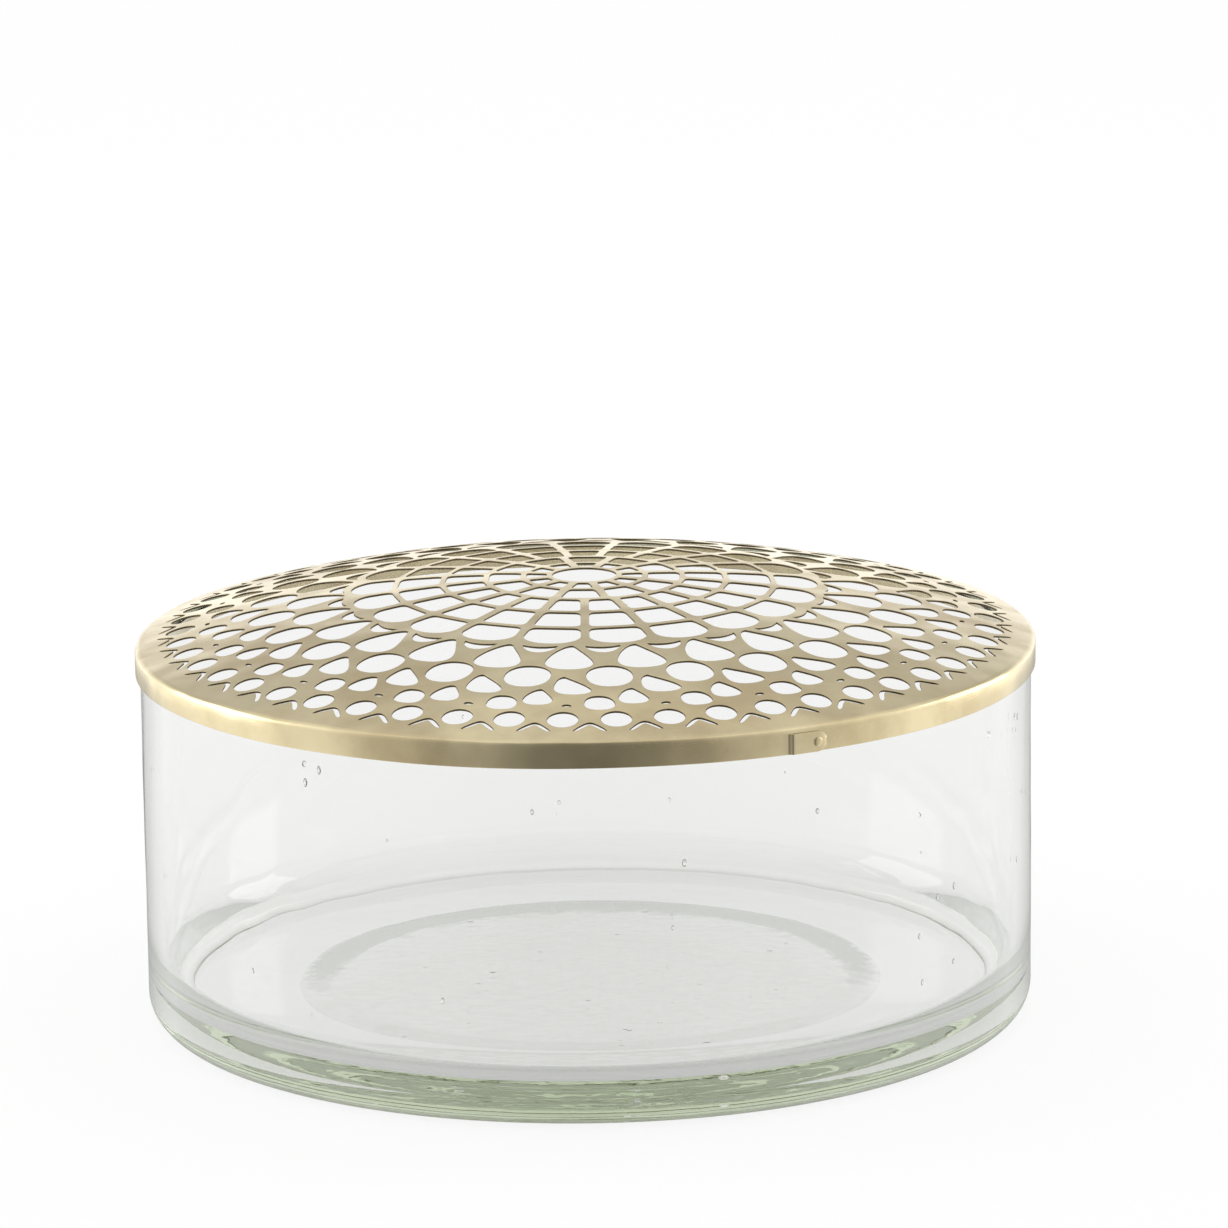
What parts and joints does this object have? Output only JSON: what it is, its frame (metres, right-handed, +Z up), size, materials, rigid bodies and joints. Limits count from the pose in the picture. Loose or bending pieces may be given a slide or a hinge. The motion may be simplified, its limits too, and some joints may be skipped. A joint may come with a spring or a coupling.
{
  "type": "lidded flower vase",
  "caption": "Low round clear-glass vase with a shallow domed, pierced brass lid that lifts off and holds flower stems upright.",
  "frame": {"origin": "on the table under the middle of the vessel", "axes": "+Z up the vase's round axis, -Y to the pictured front, +X to the viewer's right"},
  "size_m": [0.2114, 0.2114, 0.1043],
  "materials": {
    "clear_glass": "clear, smooth, faint green tint in the thick base",
    "lid_brass": "satin, lightly brushed"
  },
  "bodies": {
    "vessel": {"glass_vessel": "clear_glass"},
    "lid": {"lid_dome": "lid_brass", "lid_skirt": "lid_brass", "seam_rivet": "lid_brass"}
  },
  "joints": [
    {"name": "lid_lift", "type": "slide", "parent": "vessel", "child": "lid", "axis": [0, 0, 1], "range_m": [0, 0.12]}
  ]
}
